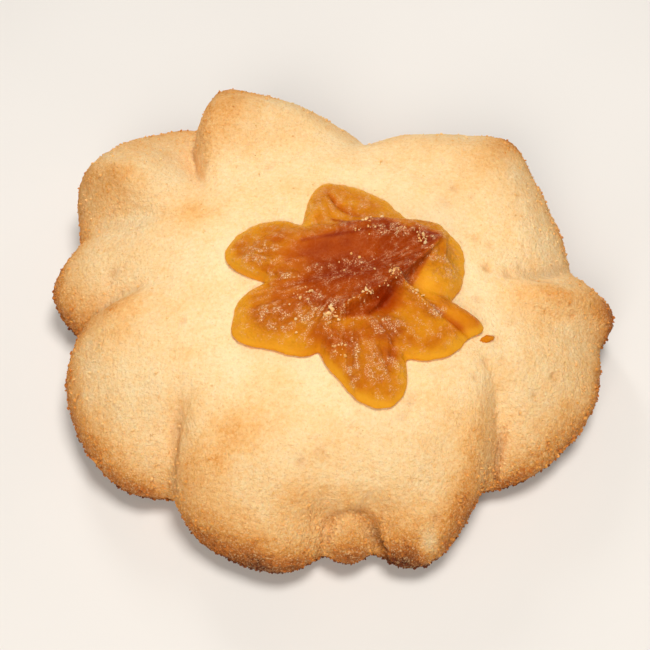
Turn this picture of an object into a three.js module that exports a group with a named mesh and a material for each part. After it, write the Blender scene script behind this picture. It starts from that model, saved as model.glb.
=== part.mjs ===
// A piped shortbread biscuit: a rosette of soft petals swept round a low dome, with a star of jam on top.
// Millimetres, +Z up. It stands on its flat foot at z = 0, and the middle of its outline is the origin.
import * as THREE from 'three';

// Driving dimensions of the dough.
const RADIUS = 29.5;        // reach of the round dome the petals are drawn out of
const CROWN = 13.6;        // height of the dough in the middle
const WAIST = 4.2;         // height at which the petals reach furthest out
const WAIST_TILT = 1.4;    // how much higher than that it is at the back, and lower at the front
const FOOT_SHARE = 0.97;   // reach of the flat foot, as a share of each petal's reach
const UNDERCUT = 0.012;    // how much less of it for each millimetre of the waist's height
const TIP_ROUND = 0.06;    // how much of either side of a tip its rounding takes up

// The dome is a superellipse in section: flat on top, and rounding over into steep sides.
const DOME_FLATNESS = 2.6;
const DOME_SHOULDER = 1.65;
const SHOULDER_FROM = 0.86;  // share of the reach at which a lifted petal starts to round over to its rim

// Driving dimensions of the jam.
const JAM_MIDDLE = { x: 1.6, y: -2.3 };  // the jam was piped a little off the rosette's middle
const JAM_ARM = 1.3;       // thickness of the arms
const JAM_HEAP = 1.1;      // how much thicker the heap in the middle is
const JAM_EDGE = 0.25;     // thickness at the very edge
const SEAT_GAP = 0.3;      // clearance between the jam and the dough under it

const DEGREE = Math.PI / 180;
const { lerp, clamp, smoothstep } = THREE.MathUtils;

// The petals, anticlockwise. Each runs from its own crease to the next petal's crease.
//   at, neck    azimuth (degrees) and reach (mm) of the crease at the rim
//   cut, turn   depth of the crease, as a share of the dome's height there, and its swing on the way in
//   shows       shares of the reach at which the crease starts and is at its full depth
//   tip, peak   reach of the petal's furthest point, and where that lies between the two creases, 0 to 1
//   full        fullness of the outline before and after the tip: 1 is straight, 3 is full and round
//   rise, lift  how far the petal's crest stands over the dome, as a share, and how many mm it is lifted too
//   ridge       where the crest runs between the two creases, 0 to 1
const PETALS = [
  {
    at: 13, neck: 27.6, cut: 0.12, turn: -11, shows: [0.55, 0.82],
    tip: 32.6, peak: 0.54, full: [0.62, 0.55], rise: 0.3, lift: 0.8, ridge: 0.53,
  },
  {
    at: 78.5, neck: 24.2, cut: 0.08, turn: 5, shows: [0.6, 0.84],
    tip: 33.6, peak: 0.81, full: [0.55, 1.4], rise: 0.4, lift: 3, ridge: 0.78,
  },
  {
    at: 115.5, neck: 29.4, cut: 0.24, turn: 24, shows: [0.6, 0.84],
    tip: 34.6, peak: 0.74, full: [4.5, 0.6], rise: 0.26, lift: 2.8, ridge: 0.68,
  },
  {
    at: 162, neck: 30.1, cut: 0.05, turn: -10, shows: [0.65, 0.86],
    tip: 31.4, peak: 0.58, full: [1.6, 2.4], rise: 0, lift: 0, ridge: 0.4,
  },
  {
    at: 182.8, neck: 26.9, cut: 0.26, turn: -3, shows: [0.6, 0.84],
    tip: 29.9, peak: 0.56, full: [2.3, 3.6], rise: 0.26, lift: 0, ridge: 0.14,
  },
  {
    at: 231.7, neck: 26, cut: 0.3, turn: -10, shows: [0.66, 0.86],
    tip: 29.4, peak: 0.67, full: [3, 2.6], rise: 0.14, lift: 0, ridge: 0.28,
  },
  {
    at: 267.9, neck: 26.6, cut: 0.62, turn: 2, shows: [0.84, 0.9],
    tip: 27.4, peak: 0.5, full: [2.4, 2.4], rise: -0.34, lift: 0, ridge: 0.5,
  },
  {
    at: 278.8, neck: 26.7, cut: 0.62, turn: 0, shows: [0.84, 0.9],
    tip: 29.6, peak: 0.34, full: [1.9, 1.1], rise: 0.14, lift: 0, ridge: 0.7,
  },
  {
    at: 307.4, neck: 25, cut: 0.36, turn: 21, shows: [0.62, 0.85],
    tip: 28.6, peak: 0.42, full: [2.2, 2.4], rise: 0.06, lift: 0, ridge: 0.5,
  },
  {
    at: 353.6, neck: 29.5, cut: 0.02, turn: -4, shows: [0.6, 0.84],
    tip: 31.2, peak: 0.36, full: [1.5, 1], rise: 0.18, lift: 0.4, ridge: 0.34,
  },
];

// The jam's arms in the same terms, about the jam's middle. swell is the arm's thickness against the rest.
const ARMS = [
  { at: 304.3, neck: 10.8, tip: 14.6, peak: 0.78, full: [1.0, 1.8], swell: 1.0 },
  { at: 349.3, neck: 10.1, tip: 13.0, peak: 0.5, full: [2.2, 2.0], swell: 0.75 },
  { at: 55.8, neck: 10.9, tip: 14.1, peak: 0.58, full: [1.2, 1.6], swell: 0.85 },
  { at: 121.9, neck: 9.3, tip: 13.5, peak: 0.7, full: [2.4, 2.2], swell: 1.0 },
  { at: 175.9, neck: 8.7, tip: 12.9, peak: 0.46, full: [1.7, 1.3], swell: 1.0 },
  { at: 250.2, neck: 8.4, tip: 14.2, peak: 0.6, full: [1.3, 2.2], swell: 1.1 },
];

// Folds left in the jam as the nozzle drew away, each a crest from one point to another.
//   bow is its sideways curve, high its height at either end, wide its half width on the left and the right
const FOLDS = [
  { from: [-7.4, 5.6], to: [1.4, 4.6], bow: -0.5, high: [0.6, 1.5], wide: [1.2, 3.2] },
  { from: [1.4, 4.6], to: [8.0, 3.2], bow: 0.8, high: [1.5, 2.7], wide: [1.5, 2.8] },
  { from: [-2.4, -5.8], to: [5.4, 0.4], bow: -0.5, high: [0.7, 1.7], wide: [2.2, 1.3] },
  { from: [5.0, 0.2], to: [9.0, -4.6], bow: 0.3, high: [1.7, 0.5], wide: [1.3, 1.1] },
  { from: [-1.2, -5.4], to: [-0.4, -10.2], bow: 0.4, high: [0.8, 0.3], wide: [1.3, 1.3] },
];

// Rises from 0 at either end of a span to 1 at its rounded peak. Each side has its own fullness.
function swell(along, peak, [before, after]) {
  const rising = along < peak;
  const fullness = rising ? before : after;
  const left = rising ? 1 - along / peak : 1 - (1 - along) / (1 - peak);
  const rounded = Math.min(1, Math.hypot(left, TIP_ROUND));
  return (1 - rounded ** fullness) / (1 - TIP_ROUND ** fullness);
}

// Splits a ring of lobes into columns, so that every crease has a column of its own.
function columnsOf(lobes, step) {
  return lobes.flatMap((lobe, i) => {
    const next = lobes[(i + 1) % lobes.length];
    const span = (next.at - lobe.at + 360) % 360;
    const count = Math.max(6, Math.round(span / step));
    return Array.from({ length: count }, (_, k) => k / count)
      .map((along) => ({ lobe, next, along, azimuth: lobe.at + span * along }));
  });
}

// Reach of the outline at a column, in millimetres.
function reachOf({ lobe, next, along }) {
  const chord = lerp(lobe.neck, next.neck, along);
  const chordAtPeak = lerp(lobe.neck, next.neck, lobe.peak);
  return chord + (lobe.tip - chordAtPeak) * swell(along, lobe.peak, lobe.full);
}

// How full the dome still is at a share of the reach: 1 in the middle, 0 at the rim.
function domeFullness(share) {
  return Math.max(0, 1 - share ** DOME_FLATNESS) ** (1 / DOME_SHOULDER);
}

// Height over a point of the plan. Relief stretches what stands above the waist. Lift raises the shoulder.
function domeHeight(share, azimuth, lift = 0, relief = 0) {
  const waist = WAIST + WAIST_TILT * share * Math.sin(azimuth);
  const over = clamp((share - SHOULDER_FROM) / (1 - SHOULDER_FROM), 0, 1);
  const shoulder = lift * Math.sqrt(1 - over ** 2);
  return waist + (CROWN - waist) * domeFullness(share) * (1 + relief) + shoulder;
}

// A point of the dough's top, at a column and a share of the reach.
function doughTop(column, share) {
  const { lobe, next, along } = column;
  const between = (a, b) => lerp(a, b, along);
  const [starts, full] = [0, 1].map((end) => between(lobe.shows[end], next.shows[end]));
  const deep = smoothstep(share, starts, full);
  const reach = lerp(RADIUS, reachOf(column), smoothstep(share, 0.5, 1)) * share;
  const swing = between(lobe.turn, next.turn) * clamp((1 - share) / 0.4, 0, 1) ** 0.6;
  const azimuth = (column.azimuth + swing) * DEGREE;
  const crest = swell(along, lobe.ridge, [1.7, 1.7]);
  const relief = deep * (lobe.rise * crest - between(lobe.cut, next.cut) * (1 - crest));
  return new THREE.Vector3(
    reach * Math.cos(azimuth),
    reach * Math.sin(azimuth),
    domeHeight(share, azimuth, lobe.lift * crest * deep, relief),
  );
}

// Joins rings of points, listed from the top pole down to the bottom pole, into one closed surface.
function closedRings(top, rings, bottom) {
  const width = rings[0].length;
  const points = [top, ...rings.flat(), bottom];
  const faces = [];
  const at = (ring, k) => 1 + ring * width + (k % width);
  for (let k = 0; k < width; k++) {
    faces.push(0, at(0, k), at(0, k + 1));
    for (let ring = 0; ring + 1 < rings.length; ring++) {
      faces.push(at(ring, k), at(ring + 1, k), at(ring + 1, k + 1));
      faces.push(at(ring, k), at(ring + 1, k + 1), at(ring, k + 1));
    }
    faces.push(at(rings.length - 1, k), points.length - 1, at(rings.length - 1, k + 1));
  }
  const geometry = new THREE.BufferGeometry().setFromPoints(points);
  geometry.setIndex(faces);
  geometry.computeVertexNormals();
  return geometry;
}

function doughGeometry() {
  const topRows = 22;
  const sideRows = 5;
  const columns = columnsOf(PETALS, 2.6);
  const rings = [];
  for (let row = 1; row <= topRows; row++) {
    const share = Math.sin(Math.PI / 2 * row / topRows);
    rings.push(columns.map((column) => doughTop(column, share)));
  }
  const rim = rings.at(-1);
  for (let row = 1; row <= sideRows; row++) {
    const round = Math.PI / 2 * row / sideRows;
    rings.push(rim.map(({ x, y, z }) => {
      const share = lerp(FOOT_SHARE - UNDERCUT * z, 1, Math.cos(round));
      return new THREE.Vector3(x * share, y * share, z * (1 - Math.sin(round)));
    }));
  }
  return closedRings(new THREE.Vector3(0, 0, CROWN), rings, new THREE.Vector3(0, 0, 0));
}

// How high a fold stands at a point of the jam.
function foldHeight({ from: [ax, ay], to: [bx, by], bow, high, wide }, x, y) {
  const length = Math.hypot(bx - ax, by - ay);
  const ux = (bx - ax) / length;
  const uy = (by - ay) / length;
  const along = ((x - ax) * ux + (y - ay) * uy) / length;
  const inside = clamp(along, 0, 1);
  const beyond = (along - inside) * length;
  const across = (y - ay) * ux - (x - ax) * uy - bow * Math.sin(Math.PI * inside);
  const width = across > 0 ? wide[0] : wide[1];
  return lerp(high[0], high[1], inside) * Math.exp(-((across / width) ** 2) - (beyond / 1.4) ** 2);
}

// Height of the jam's underside, which follows the dome.
function seatHeight(x, y) {
  const share = Math.hypot(x + JAM_MIDDLE.x, y + JAM_MIDDLE.y) / RADIUS;
  const azimuth = Math.atan2(y + JAM_MIDDLE.y, x + JAM_MIDDLE.x);
  return domeHeight(share, azimuth) + SEAT_GAP;
}

// A point of the jam's outline drawn in to a share of its reach.
function jamPlace(column, share) {
  const reach = reachOf(column) * share;
  return [reach * Math.cos(column.azimuth * DEGREE), reach * Math.sin(column.azimuth * DEGREE)];
}

function jamTop(column, share) {
  const [x, y] = jamPlace(column, share);
  const rounded = Math.sqrt(Math.max(0, 1 - share ** 6));
  const heap = JAM_HEAP * Math.exp(-((Math.hypot(x, y) / 6.5) ** 2));
  const folds = FOLDS.reduce((sum, fold) => sum + foldHeight(fold, x, y) ** 4, 0) ** 0.25;
  const arm = JAM_ARM * lerp(1, column.lobe.swell, share);
  return new THREE.Vector3(x, y, seatHeight(x, y) + JAM_EDGE + rounded * (arm + heap + folds));
}

function jamGeometry() {
  const topRows = 13;
  const columns = columnsOf(ARMS, 5);
  const rings = [];
  for (let row = 1; row <= topRows; row++) {
    const share = Math.sin(Math.PI / 2 * row / topRows);
    rings.push(columns.map((column) => jamTop(column, share)));
  }
  for (const share of [0.97, 0.66, 0.33]) {
    rings.push(columns.map((column) => {
      const [x, y] = jamPlace(column, share);
      return new THREE.Vector3(x, y, seatHeight(x, y));
    }));
  }
  return closedRings(jamTop(columns[0], 0), rings, new THREE.Vector3(0, 0, seatHeight(0, 0)));
}

function namedMesh(name, geometry, color, roughness) {
  const mesh = new THREE.Mesh(geometry, new THREE.MeshStandardMaterial({ color, roughness, metalness: 0 }));
  mesh.name = name;
  return mesh;
}

const dough = namedMesh('shortbread', doughGeometry(), 0xf0c88c, 0.85);
const jam = namedMesh('jam_star', jamGeometry(), 0xc8700f, 0.35);
jam.position.set(JAM_MIDDLE.x, JAM_MIDDLE.y, 0);

// The rosette is lopsided, so it is moved until the middle of its outline is the origin.
const biscuit = new THREE.Group();
biscuit.add(dough, jam);
const middle = new THREE.Box3().setFromObject(dough).getCenter(new THREE.Vector3());
biscuit.position.set(-middle.x, -middle.y, 0);

const part = new THREE.Group();
part.add(biscuit);

export default part;
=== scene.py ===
# %% [markdown]
# # A jam-topped shortbread biscuit
# The biscuit is one swirl of piped dough: ten petals swept off a star nozzle, baked until their
# crests and the rim brown. A folded star of fruit jam sits in its middle. The frame gives the
# true size of both. The work here is what the frame leaves out: the sandy crumb, the pores, the
# browning, the ragged rim and the wrinkled, half-clear jam.

# %% Load the frame
import math
import random
import bpy
import numpy as np
from mathutils import Matrix, Vector, noise
from mathutils.bvhtree import BVHTree


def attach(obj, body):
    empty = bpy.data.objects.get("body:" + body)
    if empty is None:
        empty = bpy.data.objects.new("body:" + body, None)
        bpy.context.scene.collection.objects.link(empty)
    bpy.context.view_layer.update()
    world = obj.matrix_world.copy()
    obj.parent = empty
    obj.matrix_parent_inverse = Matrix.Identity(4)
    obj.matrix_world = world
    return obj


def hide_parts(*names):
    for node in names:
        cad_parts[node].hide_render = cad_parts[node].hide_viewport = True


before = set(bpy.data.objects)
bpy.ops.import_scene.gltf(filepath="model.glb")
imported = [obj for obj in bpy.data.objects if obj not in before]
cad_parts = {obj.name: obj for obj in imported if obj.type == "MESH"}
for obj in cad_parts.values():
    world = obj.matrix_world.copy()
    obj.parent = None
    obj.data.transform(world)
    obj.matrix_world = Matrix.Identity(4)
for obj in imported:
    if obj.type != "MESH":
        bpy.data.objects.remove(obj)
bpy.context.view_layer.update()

MM = 0.001

# %% [markdown]
# ## Camera and light
# A small baked thing is best seen from above and close, so all of its top shows and its near wall
# still gives the height. Soft light comes from a wide panel overhead, a little behind, so the
# folds and the crumb throw short shadows towards the viewer. The camera and the lights are put
# down first, because every finish is judged under them.

# %% Camera and light
ELEVATION = math.radians(55)
CAMERA_DISTANCE = 130 * MM
CAMERA_AIM = Vector((-0.636, -3.996, 7.0)) * MM
LENS = 67.8
SENSOR = 36.0


def look_at(obj, place, aim):
    obj.location = place
    obj.rotation_euler = (aim - place).to_track_quat("-Z", "Y").to_euler()


def add_camera():
    data = bpy.data.cameras.new("camera")
    data.lens = LENS
    data.sensor_width = SENSOR
    data.clip_start = 5 * MM
    camera = bpy.data.objects.new("camera", data)
    bpy.context.scene.collection.objects.link(camera)
    away = Vector((0, -math.cos(ELEVATION), math.sin(ELEVATION)))
    look_at(camera, CAMERA_AIM + away * CAMERA_DISTANCE, CAMERA_AIM)
    bpy.context.scene.camera = camera
    return camera


def add_panel(name, place, size, watts, tint):
    data = bpy.data.lights.new(name, "AREA")
    data.shape = "DISK"
    data.size = size
    data.energy = watts
    data.color = tint
    panel = bpy.data.objects.new(name, data)
    bpy.context.scene.collection.objects.link(panel)
    look_at(panel, Vector(place), Vector((0, 0, 8 * MM)))


PANELS = [
    ("key_panel", (0.05, 0.03, 0.34), 0.14, 0.83, (1.0, 0.97, 0.94)),
    ("fill_panel", (-0.09, -0.32, 0.26), 0.24, 0.90, (1.0, 0.94, 0.88)),
    ("back_panel", (-0.10, 0.34, 0.20), 0.10, 0.36, (1.0, 0.97, 0.95)),
]
ROOM_LIGHT = 0.12
camera = add_camera()
for panel in PANELS:
    add_panel(*panel)
world = bpy.data.worlds.new("studio")
world.use_nodes = True
sky = world.node_tree.nodes["Background"]
sky.inputs["Color"].default_value = (1, 1, 1, 1)
sky.inputs["Strength"].default_value = ROOM_LIGHT
bpy.context.scene.world = world
bpy.context.scene.view_settings.view_transform = "Standard"
print("camera at mm:", [round(v / MM, 1) for v in camera.location])

# %% [markdown]
# ## Helpers
# Every operator acts on what is selected, so one helper leaves a single piece selected and
# active. Points go to and from a mesh as arrays, in millimetres, which suits a biscuit.

# %% Helpers for pieces


def pick(obj):
    bpy.ops.object.select_all(action="DESELECT")
    obj.hide_set(False)
    obj.select_set(True)
    bpy.context.view_layer.objects.active = obj


def link_mesh(name, mesh):
    obj = bpy.data.objects.new(name, mesh)
    bpy.context.scene.collection.objects.link(obj)
    return obj


def points_of(obj):
    places = np.empty(len(obj.data.vertices) * 3)
    obj.data.vertices.foreach_get("co", places)
    return places.reshape(-1, 3) / MM


def set_points(obj, places):
    obj.data.vertices.foreach_set("co", (places * MM).ravel())
    obj.data.update()


def normals_of(obj):
    ways = np.empty(len(obj.data.vertices) * 3)
    obj.data.vertex_normals.foreach_get("vector", ways)
    return ways.reshape(-1, 3)


def set_value(obj, name, values):
    layer = obj.data.attributes.get(name) or obj.data.attributes.new(name, "FLOAT", "POINT")
    layer.data.foreach_set("value", np.clip(values, 0, 1).astype(np.float32))


def add_modifier(obj, kind, **settings):
    modifier = obj.modifiers.new(kind.lower(), kind)
    for key, value in settings.items():
        setattr(modifier, key, value)
    return modifier


def apply_modifier(obj, kind, **settings):
    pick(obj)
    bpy.ops.object.modifier_apply(modifier=add_modifier(obj, kind, **settings).name)


def voxel_skin(obj, size):
    pick(obj)
    obj.data.remesh_voxel_size = size
    obj.data.remesh_voxel_adaptivity = 0
    bpy.ops.object.voxel_remesh()


# %% [markdown]
# ## Marks on a surface
# Creases, pits, stains and folds are all marks of one kind: strong on a path or at a point, and
# fading out beside it. These helpers measure how near each point lies to a path or a spot, and
# the steps below turn that into a depth or a colour.

# %% Helpers for marks


def ease(values, low, high):
    t = np.clip((values - low) / (high - low), 0, 1)
    return t * t * (3 - 2 * t)


def polar(middle, stations):
    return [
        (middle[0] + r * math.cos(math.radians(at)), middle[1] + r * math.sin(math.radians(at)))
        for r, at in stations
    ]


def along_path(places, path):
    """Distance in plan from each point to a bent path, how far along it lies, and its side."""
    best = np.full(len(places), 1e9)
    share = np.zeros(len(places))
    side = np.zeros(len(places))
    steps = len(path) - 1
    for i in range(steps):
        a, b = np.array(path[i]), np.array(path[i + 1])
        way = b - a
        rel = places[:, :2] - a
        t = np.clip(rel @ way / (way @ way), 0, 1)
        gap = rel - t[:, None] * way
        dist = np.hypot(gap[:, 0], gap[:, 1])
        near = dist < best
        best[near] = dist[near]
        share[near] = (i + t[near]) / steps
        side[near] = np.sign(way[0] * rel[near, 1] - way[1] * rel[near, 0])
    return best, share, side


def spot(places, middle, wide, tall=None, power=1.0):
    """A soft mark, 1 in its middle and nothing far outside. A higher power makes it flatter."""
    across = (places[:, 0] - middle[0]) / wide
    along = (places[:, 1] - middle[1]) / (tall or wide)
    return np.exp(-((across ** 2 + along ** 2) ** power))


def near_azimuth(degrees, at, wide):
    """A soft mark round one azimuth, measured the short way round."""
    return np.exp(-((((degrees - at + 180) % 360 - 180) / wide) ** 2))


def taper(share, margin=0.06):
    """Strength along a stroke: full in the middle and weaker at both ends."""
    return np.sin(np.pi * np.clip(share, margin, 1 - margin)) ** 0.5


def grain(places, size, seed):
    """Smooth noise from -1 to 1 at each point, with lumps of about that size in mm."""
    shift = Vector((seed * 17.3, seed * 5.1, seed * 9.7))
    return np.array([noise.noise(Vector(p) / size + shift) for p in places])


# %% [markdown]
# ## The baked dough
# The frame holds the biscuit's true outline and petals, but its skin is coarse. A copy is merged,
# because a node's triangles are loose, and one round of subdivision takes the facets out. A voxel
# remesh then gives even little squares a quarter of a millimetre wide, fine enough to carry real
# crumb. The flat foot is dissolved again, since it needs no detail. The copy is also drawn in by
# one percent, so that crumb can stand proud without passing the biscuit's true size.

# %% Even skin for the dough
SKIN = 0.258 * MM
DRAW_IN = 0.991


def copy_node(node, name):
    piece = link_mesh(name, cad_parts[node].data.copy())
    piece.data.materials.clear()
    pick(piece)
    bpy.ops.object.mode_set(mode="EDIT")
    bpy.ops.mesh.select_all(action="SELECT")
    bpy.ops.mesh.remove_doubles(threshold=0.002 * MM)
    bpy.ops.mesh.tris_convert_to_quads()
    bpy.ops.object.mode_set(mode="OBJECT")
    return piece


dough = copy_node("shortbread", "dough")
apply_modifier(dough, "SUBSURF", levels=1, render_levels=1)
set_points(dough, points_of(dough) * DRAW_IN)
voxel_skin(dough, SKIN)
apply_modifier(dough, "SMOOTH", factor=0.5, iterations=5)
print("dough skin:", len(dough.data.polygons), "faces")

# %% [markdown]
# ## The broad form
# Crests brown in the oven and valleys stay pale, so it has to be known which is which. A copy of
# the skin is smoothed until only the broad round is left. How far the real skin stands out of
# that round, along its normals, is its swell. A node could find sharp edges, but not petals that
# are a centimetre wide.

# %% Broad form, for browning
FORM_ROUNDS = 260


def broad_swell(obj):
    """How far each point stands out of the smoothed form: crests above zero, valleys below."""
    smoothed = link_mesh("smoothed", obj.data.copy())
    apply_modifier(smoothed, "SMOOTH", factor=0.5, iterations=FORM_ROUNDS)
    swell = np.einsum("ij,ij->i", points_of(obj) - points_of(smoothed), normals_of(obj))
    bpy.data.objects.remove(smoothed)
    return swell


form = points_of(dough)
form_normals = normals_of(dough)
swell = broad_swell(dough)
print("swell mm:", [round(float(v), 3) for v in np.percentile(swell, [1, 25, 50, 75, 99])])

# %% [markdown]
# ## Creases and ridges
# Where one petal was laid against the next the dough leaves a thin seam, and here and there a fold
# stands up as a ridge. Each is a short path over the top, given as reach and azimuth about the
# biscuit's middle. Points near a crease are pressed in along their normal, as a crease brush would
# do it, and points near a ridge are drawn out. Shade in a crease is painted on as a darker colour.
# Slow noise first takes the evenness away.

# %% Creases and ridges
# A crease has a path, a depth, a width and how dark its painted shade is, and a ridge a path, a height
# and a width.
FOOT_MIDDLE = (0.064, -1.496)
CREASES = [
    ([(23.0, 319), (23.8, 315.5), (24.9, 312), (26.6, 308.5)], 0.9, 0.32, 0.8),
    ([(19.5, 137), (22.5, 133), (25.5, 128), (28.5, 122.5)], 0.25, 0.3, 0.5),
    ([(20.6, 222), (23.0, 227), (26.3, 233)], 0.45, 0.5, 0.5),
    ([(22.5, 181), (26.9, 183)], 0.3, 0.8, 0.3),
    ([(19, 4), (22.9, 6), (27.2, 12)], 0.25, 0.8, 0.3),
]
RAISED = [
    ([(15.6, 149), (20, 150), (27.8, 151.3)], 0.35, 1.3),
    ([(24.0, 132), (26.5, 127.5), (28.6, 125)], 0.55, 1.6),
    ([(13.5, 249), (18, 245), (22.5, 241)], 0.25, 1.8),
    ([(16, 199), (24, 198)], 0.25, 1.6),
    ([(19.6, 353), (23.9, 357), (28.8, 359)], 0.25, 1.4),
]


def press(places, ways, amount):
    return places - ways * amount[:, None]


UNEVEN = [(0.30, 7.0, 3), (0.10, 2.6, 4)]
upward = ease(form_normals[:, 2], -0.2, 0.2)
uneven = sum(height * grain(form, size, seed) for height, size, seed in UNEVEN)
form = press(form, form_normals, uneven * ease(form[:, 2], 1.0, 4.0))
pressed = np.zeros(len(form))
creased = np.zeros(len(form))
for stations, depth, width, tint in CREASES:
    gap, share, _ = along_path(form, polar(FOOT_MIDDLE, stations))
    mark = taper(share) * np.exp(-((gap / width) ** 2)) * upward
    pressed = np.maximum(pressed, depth * mark)
    # creased: painted shade along each crease, as dark as its last column says
    creased = np.maximum(creased, tint * ease(mark, 0.15, 0.9))
raised = np.zeros(len(form))
for stations, height, width in RAISED:
    gap, share, _ = along_path(form, polar(FOOT_MIDDLE, stations))
    raised = np.maximum(raised, height * taper(share) * np.exp(-((gap / width) ** 2)) * upward)
pressed -= raised
set_points(dough, press(form, form_normals, pressed))
print("creases:", len(CREASES), "ridges:", len(RAISED), "deepest mm:", round(float(pressed.max()), 2))

# %% [markdown]
# ## The arch
# At the front a small petal is tucked in under its neighbours, and the seam over it is an arch on
# the wall. The wall is steep, so the arch's path is measured on the front view, across and up.
# Its right leg is the deepest. The small petal is puffed out a little under it. The seam also gets
# painted shade, darkest in the deep leg.

# %% Arch over the small petal
ARCH = [(-1.1, 2.6), (-0.5, 4.5), (0.6, 5.9), (1.9, 6.4), (3.2, 5.6), (4.2, 4.1), (5.3, 2.2)]
ARCH_FRONT = 22.5
ARCH_DEPTH = 0.5
LEG_DEPTH = 1.25
PUFF_MIDDLE = (1.9, 2.6)
PUFF = 0.5
front_view = form[:, [0, 2]]
gap, share, _ = along_path(front_view, ARCH)
on_front = ease(-form[:, 1], ARCH_FRONT, ARCH_FRONT + 1.5)
seam = np.exp(-((gap / (0.30 + 0.14 * share)) ** 2)) * on_front
arch = (ARCH_DEPTH + LEG_DEPTH * ease(share, 0.72, 0.96)) * seam
puffed = PUFF * spot(front_view, PUFF_MIDDLE, 1.7, 2.0) * on_front
set_points(dough, press(points_of(dough), form_normals, arch - puffed))
# painted shade along the arch seam, darkest in its deep right leg
creased = np.maximum(creased, 0.95 * ease(arch, 0.15, 1.2))
print("arch deepest mm:", round(float(arch.max()), 2))

# %% [markdown]
# ## Pits
# Gas that reaches the top while the dough is soft leaves small round pits. The ones that catch
# the eye are placed one by one, each with its place, width and depth, and a seeded die adds
# smaller ones. Each is a soft bowl pressed into the skin, and each pit is painted a little darker.

# %% Pits
PITS = [
    (16.4, -0.2, 0.50, 0.40), (15.4, 3.8, 0.45, 0.15), (16.9, 3.0, 0.35, 0.15),
    (18.6, -0.6, 0.55, 0.22), (20.1, 1.1, 0.35, 0.20), (21.8, -0.5, 0.60, 0.22),
    (23.0, -0.7, 0.45, 0.2), (15.1, -4.5, 0.50, 0.22), (18.4, -6.6, 0.60, 0.10),
    (22.6, -11.8, 0.40, 0.35), (15.4, -11.5, 0.40, 0.22), (6.1, -16.0, 0.40, 0.25),
    (7.8, -16.3, 0.65, 0.18), (6.9, -18.0, 0.45, 0.12), (13.5, 10.7, 0.60, 0.12),
    (12.4, 8.4, 0.90, 0.08), (-6.9, 13.8, 0.50, 0.18), (-23.4, 1.0, 0.60, 0.30),
    (-15.1, -7.1, 0.35, 0.35), (14.2, -13.5, 0.45, 0.15), (16.8, -9.0, 0.40, 0.12),
    (20.5, -13.9, 0.40, 0.25), (-1.0, -21.4, 0.60, 0.10), (-3.0, -22.3, 0.50, 0.28),
    (10.1, -26.4, 0.40, 0.40),
]
LOOSE_PITS = 26
PIT_REACH = 28
dice = random.Random(11)
for _ in range(LOOSE_PITS):
    at, far = dice.uniform(0, 2 * math.pi), PIT_REACH * math.sqrt(dice.uniform(0.12, 1))
    width, depth = dice.uniform(0.18, 0.3), dice.uniform(0.08, 0.25)
    PITS.append((far * math.cos(at), far * math.sin(at), width, depth))


def pit_marks(places, ways):
    deep = np.zeros(len(places))
    tint = np.zeros(len(places))
    for x, y, width, depth in PITS:
        bowl = spot(places, (x, y), width) * (ways[:, 2] > 0.1)
        deep = np.maximum(deep, depth * bowl)
        # pit_tint: how much darker each pit is painted
        tint = np.maximum(tint, min(1, 0.2 + 1.3 * depth) * bowl)
    return deep, tint


deep, pit_tint = pit_marks(form, form_normals)
set_points(dough, press(points_of(dough), form_normals, deep))
print("pits:", len(PITS))

# %% [markdown]
# ## Crumb relief
# Shortbread is sandy. Its grains are coarsest on the lower wall and finest on the smooth middle.
# A texture brush would do this by hand. Displace modifiers do it evenly, from clouds and cells,
# and a vertex group says how strongly each point is moved. One corner at the front has broken
# off and shows pale, coarse crumb.

# %% Where the crumb is coarse
BREAK = (9.4, -28.2)
BREAK_WIDTH = 1.1
lift = ease(-form[:, 2], -7.5, -1.5)
reach = np.hypot(form[:, 0] - FOOT_MIDDLE[0], form[:, 1] - FOOT_MIDDLE[1])
outer = ease(reach, 12, 27)
foot = ease(-form[:, 2], -0.35, -0.1)
broken = spot(form, BREAK, BREAK_WIDTH) * (form[:, 2] > 2.5)
coarse = np.clip(0.36 + 0.34 * outer + 0.55 * lift + 0.6 * broken, 0, 1) * (1 - foot)
print("coarse on", int((coarse > 0.6).sum()), "of", len(coarse), "points")

# %% Crumb relief


def paint_group(obj, name, values):
    """A vertex group in ten steps, because one call sets one weight for many points."""
    group = obj.vertex_groups.new(name=name)
    for step in range(1, 11):
        chosen = np.nonzero(np.round(values * 10) == step)[0]
        group.add(chosen.tolist(), step / 10, "REPLACE")
    return group.name


def noise_texture(name, kind, size, **settings):
    texture = bpy.data.textures.new(name, kind)
    texture.noise_scale = size
    for key, value in settings.items():
        setattr(texture, key, value)
    return texture


def rough_up(obj, name, kind, size, height, group="", **settings):
    apply_modifier(
        obj, "DISPLACE", texture=noise_texture(name, kind, size, **settings), strength=height,
        mid_level=0.5, vertex_group=group, texture_coords="LOCAL",
    )


paint_group(dough, "coarse", coarse)
rough_up(dough, "lumps", "CLOUDS", 3.4 * MM, 0.26 * MM, "coarse", noise_depth=1)
rough_up(dough, "crumb", "CLOUDS", 0.60 * MM, 0.30 * MM, "coarse", noise_depth=2)
rough_up(dough, "grit", "VORONOI", 0.50 * MM, -0.20 * MM, "coarse", noise_intensity=1.0)
print("relief on", int((coarse > 0.05).sum()), "points")

# %% [markdown]
# ## Flat foot
# The biscuit was baked lying on a sheet, so its underside is flat. Its points are set level, and
# the little faces there are dissolved into large ones, which saves a quarter of them. That gives
# the points new numbers, so the foot is cleaned only when every value has been painted.

# %% Flat foot
FOOT_SNAP = 0.12


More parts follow.
